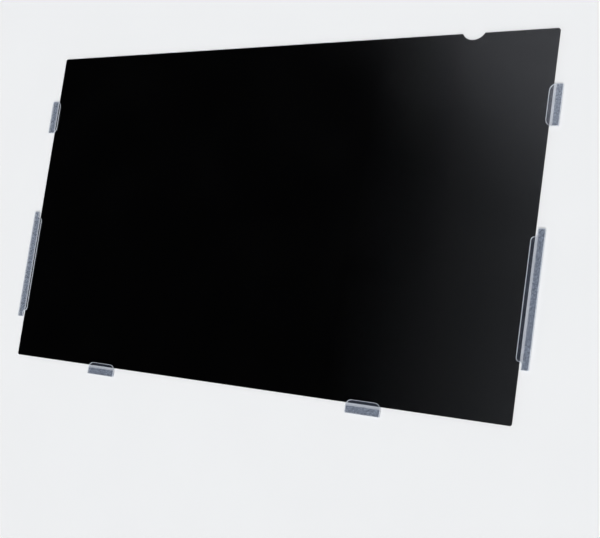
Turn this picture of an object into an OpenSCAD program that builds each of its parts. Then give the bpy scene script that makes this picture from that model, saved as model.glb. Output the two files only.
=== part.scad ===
// Privacy filter for a desktop monitor: a dark louvred sheet and the six clear
// slide-in tabs that hold it in front of the screen.
// The origin is the middle of the sheet's back face, which lies on Z = 0.
// +X runs to the viewer's right, +Y up the screen and +Z towards the viewer.
// Lengths are in millimetres.

/* [Sheet] */
// Width of the sheet, which suits a 24 inch screen of 16:9
sheet_w = 531; // [440:1:600]
// Height of the sheet
sheet_h = 299; // [260:1:340]
// Thickness of the sheet
sheet_t = 0.8; // [0.5:0.1:2]
// Radius of the sheet's four corners
sheet_corner_r = 2; // [1:0.5:6]

/* [Finger notch] */
// Length of the notch's mouth along the top edge
notch_w = 20; // [14:1:30]
// Depth of the notch below the top edge
notch_depth = 5.4; // [4.6:0.2:7]
// Distance from the sheet's right edge to the middle of the notch
notch_from_right = 72.5; // [40:0.5:150]

/* [Tab] */
// Width of a tab, from its outer edge to the edge of its lip
tab_w = 11; // [9.5:0.5:14]
// Thickness of the clear plastic that the tabs are cut from
tab_t = 0.8; // [0.4:0.1:1.6]
// Radius of a tab's nearly square corners
tab_corner_r = 0.8; // [0.4:0.1:1.6]
// Clearance between the sheet's front face and the lips that it slides behind
slide_clearance = 0.1; // [0.05:0.05:0.4]

/* [Short tab] */
// Length of a short tab
short_tab_l = 32.4; // [24:0.2:44]
// Radius of the two round corners of its lip
short_lip_r = 5.4; // [2:0.2:8]

/* [Long tab] */
// Length of a long tab
long_tab_l = 105; // [80:1:130]
// Length of the straight narrow end beyond each shoulder
long_end_l = 4; // [2:0.5:8]
// Radius where the narrow end curves out into the shoulder
shoulder_in_r = 2.2; // [1:0.2:3]
// Radius where the shoulder rolls over into the edge of the lip
shoulder_out_r = 2.8; // [1:0.2:4]

/* [Adhesive] */
// Width of the strip of adhesive along a tab's outer edge
adhesive_w = 5.4; // [4:0.2:7]
// Margin of bare plastic around the adhesive
adhesive_margin = 0.3; // [0.1:0.1:1]
// Clear space between the sheet's edge and the adhesive
edge_gap = 2.5; // [1:0.1:3.4]

/* [Tab places] */
// Distance from the sheet's top edge to the middle of the left upper tab
left_upper_drop = 60; // [40:0.5:70]
// Distance from the sheet's bottom edge to the middle of the left lower tab
left_lower_rise = 90; // [72:0.5:100]
// Distance from the sheet's top edge to the middle of the right upper tab
right_upper_drop = 59.5; // [40:0.5:70]
// Distance from the sheet's bottom edge to the middle of the right lower tab
right_lower_rise = 93.5; // [72:0.5:100]
// Distance from the sheet's left edge to the middle of the bottom left tab
bottom_left_inset = 115.5; // [60:0.5:180]
// Distance from the sheet's right edge to the middle of the bottom right tab
bottom_right_inset = 127.5; // [60:0.5:180]

/* [Hidden] */
$fn = 96;
SHEET_COLOUR = [0.03, 0.03, 0.04];
TAB_COLOUR = [0.66, 0.74, 0.84, 0.6];
ADHESIVE_COLOUR = [0.84, 0.87, 0.92, 0.8];

// How far a cut runs on past the edge that it leaves through
past = 1;

// The notch is a segment of the circle through both ends of its mouth and its
// deepest point
notch_r = (notch_w * notch_w / 4 + notch_depth * notch_depth) / (2 * notch_depth);
notch_x = sheet_w / 2 - notch_from_right;

// The adhesive is as thick as the sheet and its clearance together, so its back
// is flush with the sheet's back and its front carries the tab
adhesive_t = sheet_t + slide_clearance;

// Places across a tab, from the sheet's edge, with inwards positive
adhesive_inner = -edge_gap;
adhesive_outer = adhesive_inner - adhesive_w;
tab_outer = adhesive_outer - adhesive_margin;
tab_inner = tab_outer + tab_w;
narrow_inner = adhesive_inner + adhesive_margin;

// A shoulder is an S of two quarter rounds, which never need more than the
// depth of the lip
lip_depth = tab_inner - narrow_inner;
in_r = min(shoulder_in_r, lip_depth / 2);
out_r = min(shoulder_out_r, lip_depth - in_r);
lip_l = long_tab_l - 2 * (long_end_l + in_r);

// Flat strip that is centred along X and reaches from y_low to y_high
module strip(length, y_low, y_high) {
    translate([-length / 2, y_low])
        square([length, y_high - y_low]);
}

// What is cut off a strip to round its two corners at y with radius r. The
// corners face up if up is 1 and down if it is -1.
module round_off(length, y, up, r) {
    size = r + past;
    for (side = [-1, 1])
        translate([side * (length / 2 - r), y - up * r])
            difference() {
                translate([min(side, 0) * size, min(up, 0) * size])
                    square(size);
                circle(r);
            }
}

// Outline of a short tab: square on the bezel and round on the lip
module short_outline() {
    difference() {
        strip(short_tab_l, tab_outer, tab_inner);
        round_off(short_tab_l, tab_outer, -1, tab_corner_r);
        round_off(short_tab_l, tab_inner, 1, short_lip_r);
    }
}

// Outline of a long tab: a narrow band along its whole length, and a lip that
// swells out of it through an S-shaped shoulder at each end
module long_outline() {
    difference() {
        union() {
            strip(long_tab_l, tab_outer, narrow_inner);
            strip(lip_l + 2 * in_r, tab_outer, narrow_inner + in_r);
            strip(lip_l, tab_outer, tab_inner);
        }
        for (side = [-1, 1])
            translate([side * (lip_l / 2 + in_r), narrow_inner + in_r])
                circle(in_r);
        round_off(long_tab_l, tab_outer, -1, tab_corner_r);
        round_off(long_tab_l, narrow_inner, 1, tab_corner_r);
        round_off(lip_l, tab_inner, 1, out_r);
    }
}

// The clear plate, which lies on its adhesive and over the sheet's edge
module plate() {
    color(TAB_COLOUR)
        translate([0, 0, adhesive_t])
            linear_extrude(tab_t)
                children();
}

// Adhesive along the outer edge of a tab that has the outline given
module adhesive(length) {
    color(ADHESIVE_COLOUR)
        linear_extrude(adhesive_t)
            intersection() {
                strip(length - 2 * adhesive_margin, adhesive_outer, adhesive_inner);
                children();
            }
}

// Places a tab, drawn for the bottom edge, on each edge that carries tabs
module on_bottom(x) {
    translate([x, -sheet_h / 2, 0])
        children();
}

module on_left(y) {
    translate([-sheet_w / 2, y, 0])
        rotate([0, 0, -90])
            children();
}

module on_right(y) {
    translate([sheet_w / 2, y, 0])
        rotate([0, 0, 90])
            children();
}

module filter_sheet() {
    color(SHEET_COLOUR)
        linear_extrude(sheet_t)
            difference() {
                strip(sheet_w, -sheet_h / 2, sheet_h / 2);
                round_off(sheet_w, sheet_h / 2, 1, sheet_corner_r);
                round_off(sheet_w, -sheet_h / 2, -1, sheet_corner_r);
                translate([notch_x, sheet_h / 2 + notch_r - notch_depth])
                    circle(notch_r);
            }
}

module left_upper_tab() {
    on_left(sheet_h / 2 - left_upper_drop) plate() short_outline();
}

module left_upper_adhesive() {
    on_left(sheet_h / 2 - left_upper_drop) adhesive(short_tab_l) short_outline();
}

module left_lower_tab() {
    on_left(left_lower_rise - sheet_h / 2) plate() long_outline();
}

module left_lower_adhesive() {
    on_left(left_lower_rise - sheet_h / 2) adhesive(long_tab_l) long_outline();
}

module right_upper_tab() {
    on_right(sheet_h / 2 - right_upper_drop) plate() short_outline();
}

module right_upper_adhesive() {
    on_right(sheet_h / 2 - right_upper_drop) adhesive(short_tab_l) short_outline();
}

module right_lower_tab() {
    on_right(right_lower_rise - sheet_h / 2) plate() long_outline();
}

module right_lower_adhesive() {
    on_right(right_lower_rise - sheet_h / 2) adhesive(long_tab_l) long_outline();
}

module bottom_left_tab() {
    on_bottom(bottom_left_inset - sheet_w / 2) plate() short_outline();
}

module bottom_left_adhesive() {
    on_bottom(bottom_left_inset - sheet_w / 2) adhesive(short_tab_l) short_outline();
}

module bottom_right_tab() {
    on_bottom(sheet_w / 2 - bottom_right_inset) plate() short_outline();
}

module bottom_right_adhesive() {
    on_bottom(sheet_w / 2 - bottom_right_inset) adhesive(short_tab_l) short_outline();
}

filter_sheet();
left_upper_tab();
left_upper_adhesive();
left_lower_tab();
left_lower_adhesive();
right_upper_tab();
right_upper_adhesive();
right_lower_tab();
right_lower_adhesive();
bottom_left_tab();
bottom_left_adhesive();
bottom_right_tab();
bottom_right_adhesive();
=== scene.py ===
import math
import random

import bpy
from bpy.props import FloatProperty, FloatVectorProperty, IntProperty, PointerProperty
from mathutils import Matrix, Vector


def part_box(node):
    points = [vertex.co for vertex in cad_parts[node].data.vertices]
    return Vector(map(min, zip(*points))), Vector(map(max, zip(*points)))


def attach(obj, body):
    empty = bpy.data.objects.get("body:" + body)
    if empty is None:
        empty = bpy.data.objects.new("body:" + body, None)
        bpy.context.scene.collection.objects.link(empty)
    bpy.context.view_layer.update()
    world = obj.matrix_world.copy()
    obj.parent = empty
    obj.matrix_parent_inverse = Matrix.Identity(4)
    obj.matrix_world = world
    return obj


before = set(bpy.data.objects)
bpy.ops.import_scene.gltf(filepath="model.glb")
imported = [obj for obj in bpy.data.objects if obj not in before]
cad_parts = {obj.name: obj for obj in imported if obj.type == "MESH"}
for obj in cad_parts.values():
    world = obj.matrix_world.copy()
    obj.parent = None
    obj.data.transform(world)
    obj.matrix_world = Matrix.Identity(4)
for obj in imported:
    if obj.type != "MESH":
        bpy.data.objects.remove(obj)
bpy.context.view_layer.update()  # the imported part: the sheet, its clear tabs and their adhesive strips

bl_info = {
    "name": "Monitor privacy filter",
    "version": (1, 0, 0),
    "blender": (4, 5, 0),
    "location": "3D View > Sidebar > Privacy filter",
    "description": "Finishes a privacy filter: its louvred sheet, clear tabs and adhesive strips",
    "category": "Object",
}

MM = 0.001
BODY = "root"
SHEET = "filter_sheet"
TABS = sorted(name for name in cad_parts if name.endswith("_tab"))
ADHESIVES = sorted(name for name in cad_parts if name.endswith("_adhesive"))

# Corners of the CAD triangles closer than this are one corner
JOIN_WITHIN = 0.001 * MM
# Faces that turn by less than this from one to the next are one flat face
FLAT_WITHIN = math.radians(0.5)
# Edges sharper than this stay sharp when a piece is shaded smooth
CREASE = math.radians(40)
# What is added inside a clear piece stays this far from its surface
CLEAR_OF_SURFACE = 0.02 * MM
# A face whose normal rises or falls by more than this is a front or a back, and any other is a side
LEVEL = 0.5


def linear(hex_colour):
    """An sRGB colour such as "#c8d4e2" as the linear RGBA that shaders take."""
    channels = [int(hex_colour[i : i + 2], 16) / 255 for i in (1, 3, 5)]
    return tuple(c / 12.92 if c <= 0.04045 else ((c + 0.055) / 1.055) ** 2.4 for c in channels) + (1.0,)


def colour_property(name, description, hex_colour):
    return FloatVectorProperty(
        name=name, description=description, subtype="COLOR", size=4, min=0, max=1, default=linear(hex_colour)
    )


def length_property(name, description, millimetres):
    return FloatProperty(
        name=name, description=description, subtype="DISTANCE", unit="LENGTH", min=0, default=millimetres * MM
    )


def share_property(name, description, share):
    return FloatProperty(name=name, description=description, subtype="FACTOR", min=0, max=1, default=share)


def strength_property(name, description, strength):
    return FloatProperty(name=name, description=description, min=0, default=strength)


class SheetLooks(bpy.types.PropertyGroup):
    """The sheet: two skins of satin film with upright black louvres between them"""

    film_tint: colour_property("Film tint", "What one smoke-grey skin lets through", "#d3d4d6")
    film_roughness: share_property("Film roughness", "From a mirror to matt", 0.14)
    skin_edge: colour_property("Skin edge", "Cut edge of the two skins", "#232427")
    core_edge: colour_property("Core edge", "Cut edge of the louvred core between the skins", "#131314")
    louvre_colour: colour_property("Louvre colour", "Black of the louvres", "#040404")
    louvre_streak: colour_property("Louvre streak", "Streaks along the louvres", "#0a0a0b")
    louvre_pitch: length_property("Louvre pitch", "From one louvre to the next", 0.45)
    louvre_foot: length_property("Louvre foot", "Width of a louvre at the sheet's back", 0.08)
    louvre_taper: share_property("Louvre taper", "Its width at the front as a share of its foot", 0.75)
    skin: length_property("Skin", "From the sheet's faces and edges to the louvres", 0.12)


class TabLooks(bpy.types.PropertyGroup):
    """The clear tabs that hold the sheet"""

    plastic_tint: colour_property("Plastic tint", "What one face of the plastic lets through", "#f6f7f9")
    haze_colour: colour_property("Haze colour", "Cool haze of the plastic, which shows over black", "#94a0b8")
    haze: share_property("Haze", "Share of the plastic that is haze", 0.05)
    # Near white: the real frost of the cut edge, with a painted highlight for the light that the plate pipes
    # to it
    edge_frost_and_highlight: colour_property("Edge colour", "Frosted cut edge, which gathers light", "#fafbfd")
    edge_shade: colour_property("Edge shade", "Duller ticks along the cut edge", "#dde4ec")
    edge_width: length_property("Edge width", "Width of the bright cut edge", 0.3)
    crushed: length_property("Crushed corner", "Width of the cut edge's crushed corners", 0.06)


class AdhesiveLooks(bpy.types.PropertyGroup):
    """The strips of clear adhesive under the tabs"""

    front_tint: colour_property("Front tint", "What the front and the sides let through", "#f6f7f8")
    back_tint: colour_property("Back tint", "What the back lets through", "#cbcfd6")
    milk_colour: colour_property("Milk colour", "Milky patches of the adhesive", "#c0c7d1")
    # The bubbles' two pale tones are a painted reflection of the light that the curved skin of the air throws
    # back
    bubble_reflection: colour_property("Bubble colour", "Trapped air, which looks pale", "#f8fafc")
    bubble_dull_reflection: colour_property("Bubble shade", "Duller parts of the trapped air", "#d8dfe8")
    bubble_spacing: length_property("Bubble spacing", "From one try at a bubble to the next", 1.15)
    smallest_bubble: length_property("Smallest bubble", "Across the smallest air bubble", 0.4)
    largest_bubble: length_property("Largest bubble", "Across the largest air bubble", 1.7)
    bubble_wall: length_property("Bubble wall", "Adhesive left round each bubble", 0.05)
    seed: IntProperty(name="Seed", description="Another number scatters the bubbles anew", default=4)


class StageLooks(bpy.types.PropertyGroup):
    """The pale floor, the studio, its lights and the camera"""

    floor_colour: colour_property("Floor colour", "Plain pale floor", "#f2f3f4")
    floor_shade: colour_property("Floor shade", "Duller patches of the floor", "#eff0f1")
    wall_colour: colour_property("Wall colour", "Walls of the studio", "#eef0f3")
    ceiling_colour: colour_property("Ceiling colour", "Dark ceiling of the studio", "#060607")
    softbox_colour: colour_property("Softbox colour", "Lit cloth of the softbox", "#f2f5ff")
    softbox_strength: strength_property("Softbox strength", "Brightness of the softbox", 1.0)
    key_strength: strength_property("Key strength", "Brightness of the key light", 1.65)
    top_strength: strength_property("Top strength", "Brightness of the top light", 1.45)
    lens: FloatProperty(name="Lens", description="Focal length in mm on a 36 mm frame", min=1, default=72)


def add_node(tree, kind, inputs=None, **settings):
    """Adds a node. Each input gets a value, or a link from a socket or from a node's first output."""
    node = tree.nodes.new(kind)
    for name, setting in settings.items():
        setattr(node, name, setting)
    for name, given in (inputs or {}).items():
        source = given.outputs[0] if isinstance(given, bpy.types.Node) else given
        if isinstance(source, bpy.types.NodeSocket):
            tree.links.new(source, node.inputs[name])
        else:
            node.inputs[name].default_value = source
    return node


# A Mix node of colours takes its factor at input 0 and the colours at 6 and 7, and gives the mix at 2
MIX_OUTPUT = 2
# Nearly all of a Noise node's values lie between these
NOISE_RANGE = {"From Min": 0.3, "From Max": 0.7}


def start_material(name):
    """A new material with an empty tree."""
    material = bpy.data.materials.new(name)
    material.use_nodes = True
    material.node_tree.nodes.clear()
    return material, material.node_tree


def unevenness(tree, size, detail=2.0, stretch=None):
    """A pattern of patches about size across, in Object coordinates. stretch scales it by axis."""
    place = add_node(tree, "ShaderNodeTexCoord").outputs["Object"]
    if stretch:
        place = add_node(tree, "ShaderNodeMapping", {"Vector": place, "Scale": stretch})
    return add_node(tree, "ShaderNodeTexNoise", {"Vector": place, "Scale": 1 / size, "Detail": detail})


def height_of(tree, coordinates):
    """The Z of a Texture Coordinate output such as Object or Normal."""
    source = add_node(tree, "ShaderNodeTexCoord").outputs[coordinates]
    return add_node(tree, "ShaderNodeSeparateXYZ", {"Vector": source}).outputs["Z"]


def on_sides(tree):
    """1 on the upright sides of a flat piece and 0 on its front and back."""
    rise = add_node(tree, "ShaderNodeMath", {0: height_of(tree, "Normal")}, operation="ABSOLUTE")
    return add_node(tree, "ShaderNodeMath", {0: rise, 1: LEVEL}, operation="LESS_THAN")


def on_back(tree):
    """1 on the back of a flat piece and 0 elsewhere."""
    return add_node(tree, "ShaderNodeMath", {0: height_of(tree, "Normal"), 1: -LEVEL}, operation="LESS_THAN")


def in_skins(tree, skin):
    """1 in the sheet's two skins and 0 in the core between them, with a slight blur where they meet."""
    low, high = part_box(SHEET)
    middle = (low.z + high.z) / 2
    core = (high.z - low.z) / 2 - skin
    blur = 0.015 * MM
    offset = add_node(tree, "ShaderNodeMath", {0: height_of(tree, "Object"), 1: middle}, operation="SUBTRACT")
    distance = add_node(tree, "ShaderNodeMath", {0: offset}, operation="ABSOLUTE")
    step = {"Value": distance, "From Min": core - blur, "From Max": core + blur}
    return add_node(tree, "ShaderNodeMapRange", step)


def glossed(tree, body, ior, roughness, normal):
    """body under a clear surface that mirrors more at a flat angle, as any plastic does."""
    head_on = ((ior - 1) / (ior + 1)) ** 2
    slant = add_node(tree, "ShaderNodeLayerWeight", {"Blend": 0.5, "Normal": normal}).outputs["Facing"]
    # The mirrored share grows with the fifth power of the slant, up to all of it
    growth = add_node(tree, "ShaderNodeMath", {0: slant, 1: 5}, operation="POWER")
    share = add_node(tree, "ShaderNodeMapRange", {"Value": growth, "To Min": head_on})
    # Clear plastic doesn't tint what it mirrors
    mirror = {"Color": (1, 1, 1, 1), "Roughness": roughness, "Normal": normal}
    gloss = add_node(tree, "ShaderNodeBsdfAnisotropic", mirror)
    return add_node(tree, "ShaderNodeMixShader", {0: share, 1: body, 2: gloss})


def satin_polyester_film(looks):
    """Smoke-tinted polyester film with a hard anti-glare coat: deep black, with blurred reflections."""
    material, tree = start_material("Satin polyester film")
    # The coat's grain is about 0.03 mm, and is drawn at 0.9 mm so that it shows
    grain = unevenness(tree, 0.9 * MM, detail=3)
    bump = add_node(tree, "ShaderNodeBump", {"Strength": 0.06, "Distance": 0.02 * MM, "Height": grain})
    # Rolled film blurs a little more or less over a hand's width
    waves = {"Value": unevenness(tree, 70 * MM), **NOISE_RANGE}
    waves.update({"To Min": looks.film_roughness - 0.03, "To Max": looks.film_roughness + 0.04})
    roughness = add_node(tree, "ShaderNodeMapRange", waves)
    clear = add_node(tree, "ShaderNodeBsdfTransparent", {"Color": looks.film_tint})
    face = glossed(tree, clear, 1.5, roughness, bump)
    # The knife leaves the edge dull, with the core as a darker line between the skins
    layers = {0: in_skins(tree, looks.skin), 6: looks.core_edge, 7: looks.skin_edge}
    colour = add_node(tree, "ShaderNodeMix", layers, data_type="RGBA").outputs[MIX_OUTPUT]
    dull = add_node(
        tree, "ShaderNodeMapRange", {"Value": grain, "To Min": 0.35, "To Max": 0.6, **NOISE_RANGE}
    )
    edge = add_node(tree, "ShaderNodeBsdfPrincipled", {"Base Color": colour, "Roughness": dull, "IOR": 1.5})
    film = add_node(tree, "ShaderNodeMixShader", {0: on_sides(tree), 1: face, 2: edge})
    add_node(tree, "ShaderNodeOutputMaterial", {"Surface": film})
    return material


def carbon_black_louvre(looks):
    """Carbon-filled resin, cast in thin walls: matt black, with a slight streak along each louvre."""
    material, tree = start_material("Carbon black louvre resin")
    # The mould leaves streaks about 0.2 mm high and many times as long
    streaks = unevenness(tree, 0.2 * MM, stretch=(1, 0.02, 1))
    blacks = {0: streaks, 6: looks.louvre_colour, 7: looks.louvre_streak}
    colour = add_node(tree, "ShaderNodeMix", blacks, data_type="RGBA").outputs[MIX_OUTPUT]
    matt = add_node(
        tree, "ShaderNodeMapRange", {"Value": streaks, "To Min": 0.6, "To Max": 0.85, **NOISE_RANGE}
    )
    # So much carbon leaves next to no shine
    resin = {"Base Color": colour, "Roughness": matt, "IOR": 1.5, "Specular IOR Level": 0.03}
    shader = add_node(tree, "ShaderNodeBsdfPrincipled", resin)
    add_node(tree, "ShaderNodeOutputMaterial", {"Surface": shader})
    return material


def clear_polycarbonate(looks):
    """Die-cut clear polycarbonate: glossy, with a cool haze and fine rubs from handling."""
    material, tree = start_material("Clear polycarbonate sheet")
    # Rubs are hair-thin, and are drawn 0.5 mm wide and some 5 mm long so that they show
    rubs = unevenness(tree, 0.5 * MM, detail=4, stretch=(1, 0.1, 1))
    bump = add_node(tree, "ShaderNodeBump", {"Strength": 0.1, "Distance": 0.02 * MM, "Height": rubs})
    worn = add_node(
        tree, "ShaderNodeMapRange", {"Value": rubs, "To Min": 0.05, "To Max": 0.14, **NOISE_RANGE}
    )
    # The haze is a third stronger or weaker over patches about as wide as a tab
    clouds = {"Value": unevenness(tree, 9 * MM), **NOISE_RANGE}
    clouds.update({"To Min": looks.haze * 0.7, "To Max": looks.haze * 1.3})
    share = add_node(tree, "ShaderNodeMapRange", clouds)
    clear = add_node(tree, "ShaderNodeBsdfTransparent", {"Color": looks.plastic_tint})
    haze = add_node(tree, "ShaderNodeBsdfDiffuse", {"Color": looks.haze_colour})
    body = add_node(tree, "ShaderNodeMixShader", {0: share, 1: clear, 2: haze})
    add_node(tree, "ShaderNodeOutputMaterial", {"Surface": glossed(tree, body, 1.58, worn, bump)})
    return material


def frosted_cut_edge(looks):
    """Polycarbonate where the die cut it: frosted, and painted near white as a highlight for the light that
    the plate pipes to it.
    """
    material, tree = start_material("Frosted cut polycarbonate, painted highlight")
    # The die leaves ticks about 0.4 mm apart
    ticks = unevenness(tree, 0.4 * MM, detail=3)
    # Both tones are near white: a painted highlight over the real frost, with duller ticks from the die
    tones = {0: ticks, 6: looks.edge_shade, 7: looks.edge_frost_and_highlight}
    colour = add_node(tree, "ShaderNodeMix", tones, data_type="RGBA").outputs[MIX_OUTPUT]
    frost = add_node(
        tree, "ShaderNodeMapRange", {"Value": ticks, "To Min": 0.25, "To Max": 0.45, **NOISE_RANGE}
    )
    edge = add_node(tree, "ShaderNodeBsdfPrincipled", {"Base Color": colour, "Roughness": frost, "IOR": 1.58})
    add_node(tree, "ShaderNodeOutputMaterial", {"Surface": edge})
    return material


def acrylic_adhesive(looks):
    """Clear acrylic adhesive: soft, mottled with milk where it wets unevenly, and darkest at its back."""
    material, tree = start_material("Acrylic adhesive")
    # Wetted patches are 2 to 3 mm across, and have soft rims
    patches = {"Value": unevenness(tree, 2.4 * MM, detail=3), "From Min": 0.4, "From Max": 0.6}
    share = add_node(tree, "ShaderNodeMapRange", {**patches, "To Min": 0.01, "To Max": 0.24})
    tints = {0: on_back(tree), 6: looks.front_tint, 7: looks.back_tint}
    tint = add_node(tree, "ShaderNodeMix", tints, data_type="RGBA").outputs[MIX_OUTPUT]
    clear = add_node(tree, "ShaderNodeBsdfTransparent", {"Color": tint})
    milk = add_node(tree, "ShaderNodeBsdfDiffuse", {"Color": looks.milk_colour})
    adhesive = add_node(tree, "ShaderNodeMixShader", {0: share, 1: clear, 2: milk})
    add_node(tree, "ShaderNodeOutputMaterial", {"Surface": adhesive})
    return material


def trapped_air(looks):
    """Air under the adhesive: its curved skin throws light back, and this is painted into it as a pale
    colour.
    """
    material, tree = start_material("Trapped air bubble, painted reflection")
    # The painted reflection is a little paler or duller over about 1 mm
    skin = unevenness(tree, 1.0 * MM)
    tones = {0: skin, 6: looks.bubble_reflection, 7: looks.bubble_dull_reflection}
    colour = add_node(tree, "ShaderNodeMix", tones, data_type="RGBA").outputs[MIX_OUTPUT]
    sheen = add_node(tree, "ShaderNodeMapRange", {"Value": skin, "To Min": 0.2, "To Max": 0.5, **NOISE_RANGE})
    air = add_node(tree, "ShaderNodeBsdfPrincipled", {"Base Color": colour, "Roughness": sheen, "IOR": 1.47})
    add_node(tree, "ShaderNodeOutputMaterial", {"Surface": air})
    return material


def matt_floor(looks):
    """Matt laminate, plain and pale, with a faint unevenness."""
    material, tree = start_material("Matt pale laminate")
    # Patches a hand's width across
    tones = {0: unevenness(tree, 90 * MM), 6: looks.floor_colour, 7: looks.floor_shade}
    colour = add_node(tree, "ShaderNodeMix", tones, data_type="RGBA").outputs[MIX_OUTPUT]
    laminate = {"Base Color": colour, "Roughness": 0.75, "Specular IOR Level": 0.2}
    floor = add_node(tree, "ShaderNodeBsdfPrincipled", laminate)
    add_node(tree, "ShaderNodeOutputMaterial", {"Surface": floor})
    return material


def pick(obj):
    """Makes obj the only thing that the next operator acts on."""
    bpy.ops.object.select_all(action="DESELECT")
    obj.select_set(True)
    bpy.context.view_layer.objects.active = obj


def start_edit(obj):
    """Opens obj for editing, with all of it selected."""
    pick(obj)
    bpy.ops.object.mode_set(mode="EDIT")
    bpy.ops.mesh.select_all(action="SELECT")


def end_edit():
    bpy.ops.object.mode_set(mode="OBJECT")


def select_faces(obj, wanted):
    """Opens obj for editing, with only the faces selected for which wanted is true."""
    start_edit(obj)
    bpy.ops.mesh.select_mode(type="FACE")
    bpy.ops.mesh.select_all(action="DESELECT")
    end_edit()
    for face in obj.data.polygons:
        face.select = wanted(face)
    bpy.ops.object.mode_set(mode="EDIT")


def apply_modifier(obj, kind, **settings):
    pick(obj)
    modifier = obj.modifiers.new(kind, kind)
    for name, setting in settings.items():
        setattr(modifier, name, setting)
    bpy.ops.object.modifier_apply(modifier=modifier.name)


def coat(obj, material):
    obj.data.materials.clear()
    obj.data.materials.append(material)


def finish_piece(obj, material):
    """A new piece gets its finish and moves with the filter."""
    coat(obj, material)
    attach(obj, BODY)


def copy_of_node(node, name):
    """A copy of a CAD node with its own mesh, whose loose triangles are joined."""
    obj = bpy.data.objects.new(name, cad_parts[node].data.copy())
    bpy.context.scene.collection.objects.link(obj)
    pick(obj)
    # The node's stored normals would no longer fit once the copy is reshaped
    bpy.ops.mesh.customdata_custom_splitnormals_clear()
    start_edit(obj)
    bpy.ops.mesh.remove_doubles(threshold=JOIN_WITHIN)
    end_edit()
    return obj


def shrink(obj, distance):
    """Moves every face of obj inwards by distance."""
    start_edit(obj)
    bpy.ops.transform.shrink_fatten(value=-distance, use_even_offset=True)
    end_edit()


def model_slat(looks, low, high):
    """The first louvre at the sheet's left edge: an upright wall that is narrower at the front."""
    middle = (low + high) / 2
    bpy.ops.object.select_all(action="DESELECT")
    bpy.ops.mesh.primitive_cube_add(
        size=1,
        location=(low.x + looks.louvre_pitch / 2, middle.y, middle.z),
        scale=(looks.louvre_foot, high.y - low.y, high.z - low.z),
    )
    slat = bpy.context.object
    bpy.ops.object.transform_apply(location=True, rotation=True, scale=True)
    select_faces(slat, lambda face: face.normal.z > LEVEL)
    bpy.ops.transform.resize(value=(looks.louvre_taper, 1, 1))
    end_edit()
    return slat


def add_louvres(looks):
    """Upright black louvres, trimmed to the sheet's outline. The real ones are some five times finer."""
    low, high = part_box(SHEET)
    core = copy_of_node(SHEET, "louvre_core")
    shrink(core, looks.skin)
    louvres = model_slat(looks, low, high)
    louvres.name = "micro_louvres"
    apply_modifier(
        louvres,
        "ARRAY",
        count=int((high.x - low.x) / looks.louvre_pitch),
        use_relative_offset=False,
        use_constant_offset=True,
        constant_offset_displace=(looks.louvre_pitch, 0, 0),
    )
    apply_modifier(louvres, "BOOLEAN", operation="INTERSECT", solver="EXACT", object=core)
    bpy.data.objects.remove(core)
    # The cut leaves points along straight edges, which go
    start_edit(louvres)
    bpy.ops.mesh.dissolve_limited(angle_limit=FLAT_WITHIN)
    end_edit()
    return louvres


def add_cut_edge(tab, looks):
    """The frosted wall just inside a clear tab's outline."""
    low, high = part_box(tab)
    edge = copy_of_node(tab, tab.replace("_tab", "_cut_edge"))
    select_faces(edge, lambda face: abs(face.normal.z) > LEVEL)
    bpy.ops.mesh.delete(type="FACE")
    end_edit()
    shrink(edge, CLEAR_OF_SURFACE)
    start_edit(edge)
    lower = 1 - 2 * CLEAR_OF_SURFACE / (high.z - low.z)
    bpy.ops.transform.resize(value=(1, 1, lower), center_override=(low + high) / 2)
    end_edit()
    apply_modifier(edge, "SOLIDIFY", thickness=looks.edge_width, offset=-1, use_even_offset=True)
    # The die crushes the corners of the cut a little
    corner = math.radians(60)
    apply_modifier(edge, "BEVEL", width=looks.crushed, segments=2, limit_method="ANGLE", angle_limit=corner)
    bpy.ops.object.shade_smooth_by_angle(angle=CREASE)
    return edge


def model_bubble():
    """One air bubble, 1 across: a ball whose underside is pressed flat, and lies on z = 0."""
    flat_at = -0.15
    bpy.ops.object.select_all(action="DESELECT")
    bpy.ops.mesh.primitive_uv_sphere_add(segments=8, ring_count=6, radius=0.5, location=(0, 0, 0))
    bubble = bpy.context.object
    start_edit(bubble)
    bpy.ops.mesh.bisect(plane_co=(0, 0, flat_at), plane_no=(0, 0, 1), use_fill=True, clear_inner=True)
    bpy.ops.mesh.select_all(action="SELECT")
    bpy.ops.transform.translate(value=(0, 0, -flat_at))
    end_edit()
    bpy.ops.object.shade_smooth_by_angle(angle=CREASE)
    return bubble


def scatter_bubbles(low, high, looks, chance):
    """Centres and widths of bubbles in a strip: a try in each cell of a grid, kept where it has room."""
    size = high - low
    across = max(1, round(size.x / looks.bubble_spacing))
    along = max(1, round(size.y / looks.bubble_spacing))
    spots = []
    for i in range(across):
        for j in range(along):
            width = chance.uniform(looks.smallest_bubble, looks.largest_bubble)
            room = width / 2 + looks.bubble_wall
            x = low.x + size.x * (i + chance.random()) / across
            y = low.y + size.y * (j + chance.random()) / along
            x = min(max(x, low.x + room), high.x - room)
            y = min(max(y, low.y + room), high.y - room)
            gaps = [math.dist((x, y), (near_x, near_y)) - near / 2 for near_x, near_y, near in spots]
            if min(gaps, default=room) >= room:
                spots.append((x, y, width))
    return spots


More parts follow.
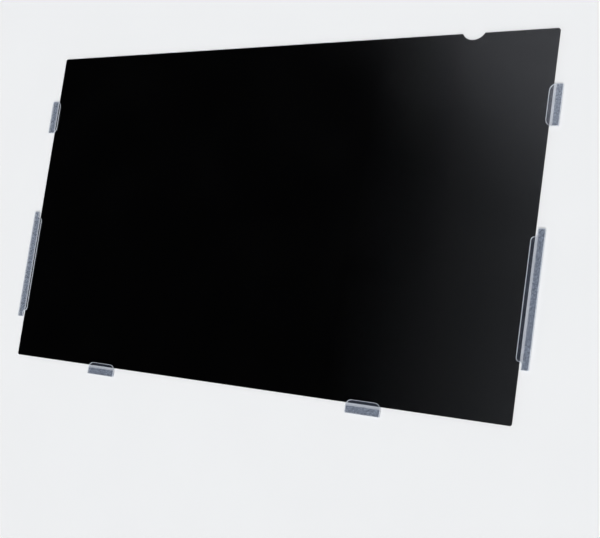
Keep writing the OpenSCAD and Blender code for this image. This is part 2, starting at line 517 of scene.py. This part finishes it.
def add_bubbles(strip, looks, chance):
    """Air bubbles that are trapped on the back of an adhesive strip."""
    low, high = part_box(strip)
    bubble = model_bubble()
    pieces = []
    for x, y, width in scatter_bubbles(low, high, looks, chance):
        length = width * chance.uniform(0.6, 1)
        height = (high.z - low.z) * chance.uniform(0.4, 0.9)
        turn = Matrix.Rotation(chance.uniform(0, math.pi), 4, "Z")
        place = Matrix.Translation((x, y, low.z + looks.bubble_wall))
        piece = bpy.data.objects.new("air_bubble", bubble.data.copy())
        piece.data.transform(place @ turn @ Matrix.Diagonal((width, length, height, 1)))
        bpy.context.scene.collection.objects.link(piece)
        pieces.append(piece)
    bpy.data.objects.remove(bubble)
    pick(pieces[0])
    for piece in pieces:
        piece.select_set(True)
    bpy.ops.object.join()
    pieces[0].name = strip.replace("_adhesive", "_air_bubbles")
    return pieces[0]


# Where the camera stood, found from the corners of the sheet in the photograph
CAMERA_PLACE = Vector((642.3, -145.5, 805.9)) * MM
CAMERA_AIM = Vector((58.0, -45.7, 0)) * MM
CAMERA_UP = Vector((-0.172, 0.985, 0))
CAMERA_FRAME_MM = 36

# From the sheet towards each light
KEY_DIRECTION = Vector((0.35, -0.55, 0.76)).normalized()
TOP_DIRECTION = Vector((0.25, -0.25, 0.935)).normalized()
SOFTBOX_DIRECTION = Vector((-0.35, 0.50, 1)).normalized()

# The softbox is fully lit up to the first of these angles from its middle, and ends at the second
SOFTBOX_LIT = math.radians(10.5)
SOFTBOX_END = math.radians(15.5)
# Angles above the floor where the walls end and where the ceiling is fully dark
WALLS_END = math.radians(11.5)
CEILING_DARK = math.radians(30)

# In metres, so wide that its rim is never near
FLOOR_WIDTH = 60
# The floor lies a little under the sheet's back, so that no two faces are in one plane
FLOOR_DROP = 0.25 * MM


def add_floor(looks):
    bpy.ops.object.select_all(action="DESELECT")
    bpy.ops.mesh.primitive_plane_add(size=FLOOR_WIDTH, location=(0, 0, -FLOOR_DROP))
    floor = bpy.context.object
    floor.name = "floor"
    coat(floor, matt_floor(looks))


def add_sun(name, direction, strength, spread):
    """A lamp far off in direction, whose light comes from a patch of sky spread degrees wide."""
    bpy.ops.object.light_add(type="SUN", rotation=direction.to_track_quat("Z", "Y").to_euler())
    lamp = bpy.context.object
    lamp.name = name
    lamp.data.energy = strength
    lamp.data.angle = math.radians(spread)


def add_studio(looks):
    """A studio with pale walls and a dark ceiling, and one dim softbox that the sheet's corner mirrors."""
    world = bpy.data.worlds.new("Studio")
    bpy.context.scene.world = world
    world.use_nodes = True
    tree = world.node_tree
    tree.nodes.clear()
    soft = {"interpolation_type": "SMOOTHSTEP"}
    height = height_of(tree, "Generated")
    rise = {"Value": height, "From Min": math.sin(WALLS_END), "From Max": math.sin(CEILING_DARK)}
    ceiling = add_node(tree, "ShaderNodeMapRange", rise, **soft)
    tones = {0: ceiling, 6: looks.wall_colour, 7: looks.ceiling_colour}
    colour = add_node(tree, "ShaderNodeMix", tones, data_type="RGBA").outputs[MIX_OUTPUT]
    room = add_node(tree, "ShaderNodeBackground", {"Color": colour})
    # The cosine of the angle from the softbox's middle says how near to it a direction is
    pair = {0: add_node(tree, "ShaderNodeTexCoord").outputs["Generated"], 1: SOFTBOX_DIRECTION}
    nearness = add_node(tree, "ShaderNodeVectorMath", pair, operation="DOT_PRODUCT").outputs["Value"]
    fade = {"Value": nearness, "From Min": math.cos(SOFTBOX_END), "From Max": math.cos(SOFTBOX_LIT)}
    glow = add_node(tree, "ShaderNodeMapRange", {**fade, "To Max": looks.softbox_strength}, **soft)
    softbox = add_node(tree, "ShaderNodeBackground", {"Color": looks.softbox_colour, "Strength": glow})
    both = add_node(tree, "ShaderNodeAddShader", {0: room, 1: softbox})
    add_node(tree, "ShaderNodeOutputWorld", {"Surface": both})


def add_camera(lens):
    camera = bpy.data.objects.new("camera", bpy.data.cameras.new("camera"))
    bpy.context.scene.collection.objects.link(camera)
    camera.data.lens = lens
    camera.data.sensor_width = CAMERA_FRAME_MM
    back = (CAMERA_PLACE - CAMERA_AIM).normalized()
    right = CAMERA_UP.cross(back).normalized()
    turned = Matrix((right, back.cross(right), back)).transposed().to_4x4()
    camera.matrix_world = Matrix.Translation(CAMERA_PLACE) @ turned
    bpy.context.scene.camera = camera


class PRIVACYFILTER_OT_sheet(bpy.types.Operator):
    """Gives the sheet its satin film"""

    bl_idname = "privacy_filter.sheet"
    bl_label = "Finish the sheet"

    def execute(self, context):
        coat(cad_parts[SHEET], satin_polyester_film(context.scene.filter_sheet_looks))
        return {"FINISHED"}


class PRIVACYFILTER_OT_louvres(bpy.types.Operator):
    """Adds the black louvres inside the sheet, which darken it from the side"""

    bl_idname = "privacy_filter.louvres"
    bl_label = "Add the louvres"

    def execute(self, context):
        looks = context.scene.filter_sheet_looks
        finish_piece(add_louvres(looks), carbon_black_louvre(looks))
        return {"FINISHED"}


class PRIVACYFILTER_OT_tabs(bpy.types.Operator):
    """Gives the clear tabs their plastic and their cut edges, which are painted bright"""

    bl_idname = "privacy_filter.tabs"
    bl_label = "Finish the tabs"

    def execute(self, context):
        looks = context.scene.filter_tab_looks
        plastic = clear_polycarbonate(looks)
        cut = frosted_cut_edge(looks)
        for tab in TABS:
            coat(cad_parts[tab], plastic)
            finish_piece(add_cut_edge(tab, looks), cut)
        return {"FINISHED"}


class PRIVACYFILTER_OT_adhesive(bpy.types.Operator):
    """Gives the adhesive strips their milky body and trapped air"""

    bl_idname = "privacy_filter.adhesive"
    bl_label = "Finish the adhesive"

    def execute(self, context):
        looks = context.scene.filter_adhesive_looks
        adhesive = acrylic_adhesive(looks)
        air = trapped_air(looks)
        chance = random.Random(looks.seed)
        for strip in ADHESIVES:
            coat(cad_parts[strip], adhesive)
            finish_piece(add_bubbles(strip, looks, chance), air)
        return {"FINISHED"}


class PRIVACYFILTER_OT_stage(bpy.types.Operator):
    """Adds the floor, the lights, the studio round them and the camera"""

    bl_idname = "privacy_filter.stage"
    bl_label = "Add the stage"

    def execute(self, context):
        looks = context.scene.filter_stage_looks
        add_floor(looks)
        add_sun("key_light", KEY_DIRECTION, looks.key_strength, spread=25)
        add_sun("top_light", TOP_DIRECTION, looks.top_strength, spread=40)
        add_studio(looks)
        add_camera(looks.lens)
        context.scene.view_settings.view_transform = "Standard"
        return {"FINISHED"}


# Each group of looks, with the steps that use it, in the order in which they run
GROUPS = {
    "filter_sheet_looks": (SheetLooks, (PRIVACYFILTER_OT_sheet, PRIVACYFILTER_OT_louvres)),
    "filter_tab_looks": (TabLooks, (PRIVACYFILTER_OT_tabs,)),
    "filter_adhesive_looks": (AdhesiveLooks, (PRIVACYFILTER_OT_adhesive,)),
    "filter_stage_looks": (StageLooks, (PRIVACYFILTER_OT_stage,)),
}


class PRIVACYFILTER_PT_panel(bpy.types.Panel):
    """Lists the looks of the filter and the steps that make them"""

    bl_idname = "PRIVACYFILTER_PT_panel"
    bl_label = "Privacy filter"
    bl_space_type = "VIEW_3D"
    bl_region_type = "UI"
    bl_category = "Privacy filter"

    def draw(self, context):
        for group, (looks, steps) in GROUPS.items():
            box = self.layout.box()
            for name in looks.__annotations__:
                box.prop(getattr(context.scene, group), name)
            for step in steps:
                box.operator(step.bl_idname)


CLASSES = (
    SheetLooks,
    TabLooks,
    AdhesiveLooks,
    StageLooks,
    PRIVACYFILTER_OT_sheet,
    PRIVACYFILTER_OT_louvres,
    PRIVACYFILTER_OT_tabs,
    PRIVACYFILTER_OT_adhesive,
    PRIVACYFILTER_OT_stage,
    PRIVACYFILTER_PT_panel,
)


def register():
    for cls in CLASSES:
        bpy.utils.register_class(cls)
    for name, (looks, _) in GROUPS.items():
        setattr(bpy.types.Scene, name, PointerProperty(type=looks))


def unregister():
    for name in GROUPS:
        delattr(bpy.types.Scene, name)
    for cls in reversed(CLASSES):
        bpy.utils.unregister_class(cls)


def main():
    register()
    bpy.ops.privacy_filter.sheet()
    bpy.ops.privacy_filter.louvres()
    bpy.ops.privacy_filter.tabs()
    bpy.ops.privacy_filter.adhesive()
    bpy.ops.privacy_filter.stage()


if __name__ == "__main__":
    main()
